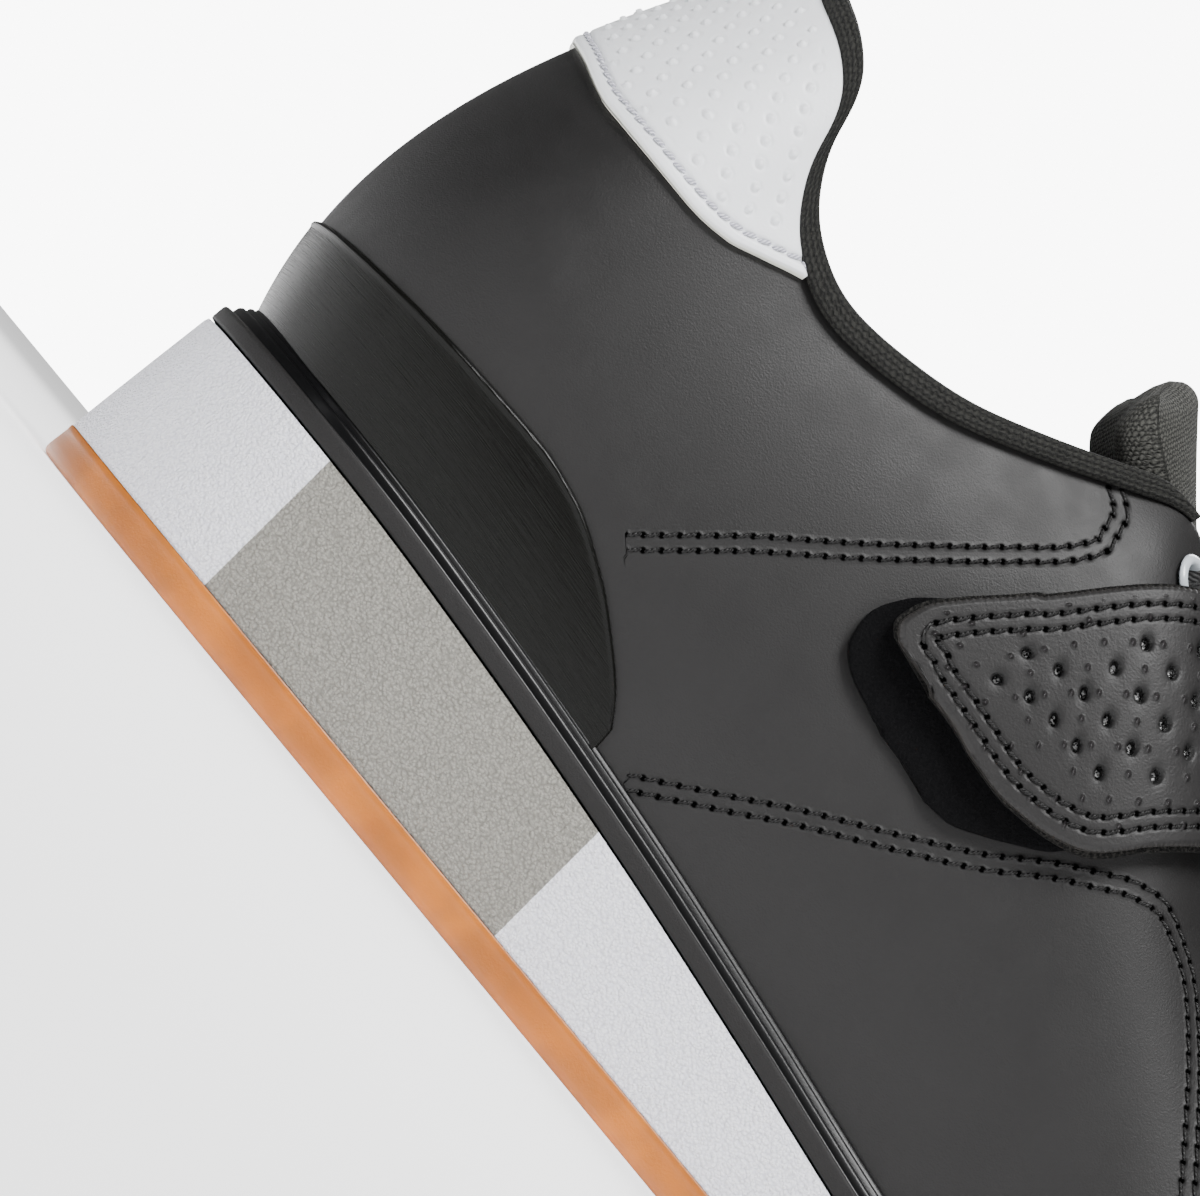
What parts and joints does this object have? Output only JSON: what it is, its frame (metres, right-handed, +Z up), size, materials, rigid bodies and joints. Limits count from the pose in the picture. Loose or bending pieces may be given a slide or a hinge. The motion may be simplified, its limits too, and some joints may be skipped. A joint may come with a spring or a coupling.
{
  "type": "weightlifting shoe",
  "caption": "Right low-cut weightlifting shoe with a raised solid heel wedge, padded collar, lacing and an instep strap.",
  "frame": {"origin": "On the flat underside of the sole, under the arch, 0.1247 m ahead of the back of the heel and on the shoe's long axis.", "axes": "+X to the toe, +Y to the inner (medial) side, -Y to the outer (lateral) side, +Z up from the floor."},
  "size_m": [0.2907, 0.1057, 0.1247],
  "materials": {
    "gum_rubber": "smooth translucent gum rubber, fine grain below",
    "white_midsole": "moulded, fine pebbled grain",
    "grey_midsole": "moulded, speckled pebbled grain",
    "rand_rubber": "black moulded band, matt below and glossy ribs above",
    "black_leather": "matt black coated synthetic leather, fine grain",
    "gloss_film": "glossy black film with fine brushed lines",
    "white_leather": "white coated synthetic leather with small raised dots",
    "black_knit": "black spacer knit over foam",
    "tongue_mesh": "black padded mesh",
    "footbed_cloth": "dark footbed cloth",
    "strap_leather": "perforated black synthetic leather",
    "loop_tape": "black loop tape",
    "lace_knit": "flat black woven lace",
    "eyelet_plastic": "pale grey rings"
  },
  "bodies": {
    "root": {"outsole": "gum_rubber", "midsole_heel": "white_midsole", "midsole_block": "grey_midsole", "midsole_front": "white_midsole", "rand": "rand_rubber", "upper": "black_leather", "counter_panel": "gloss_film", "heel_patch": "white_leather", "collar": "black_knit", "tongue": "tongue_mesh", "insole": "footbed_cloth", "strap": "strap_leather", "strap_pad": "loop_tape", "lace": "lace_knit", "eyelet_lateral_1": "eyelet_plastic", "eyelet_lateral_2": "eyelet_plastic", "eyelet_lateral_3": "eyelet_plastic", "eyelet_lateral_4": "eyelet_plastic", "eyelet_lateral_5": "eyelet_plastic", "eyelet_medial_1": "eyelet_plastic", "eyelet_medial_2": "eyelet_plastic", "eyelet_medial_3": "eyelet_plastic", "eyelet_medial_4": "eyelet_plastic", "eyelet_medial_5": "eyelet_plastic"}
  },
  "joints": []
}
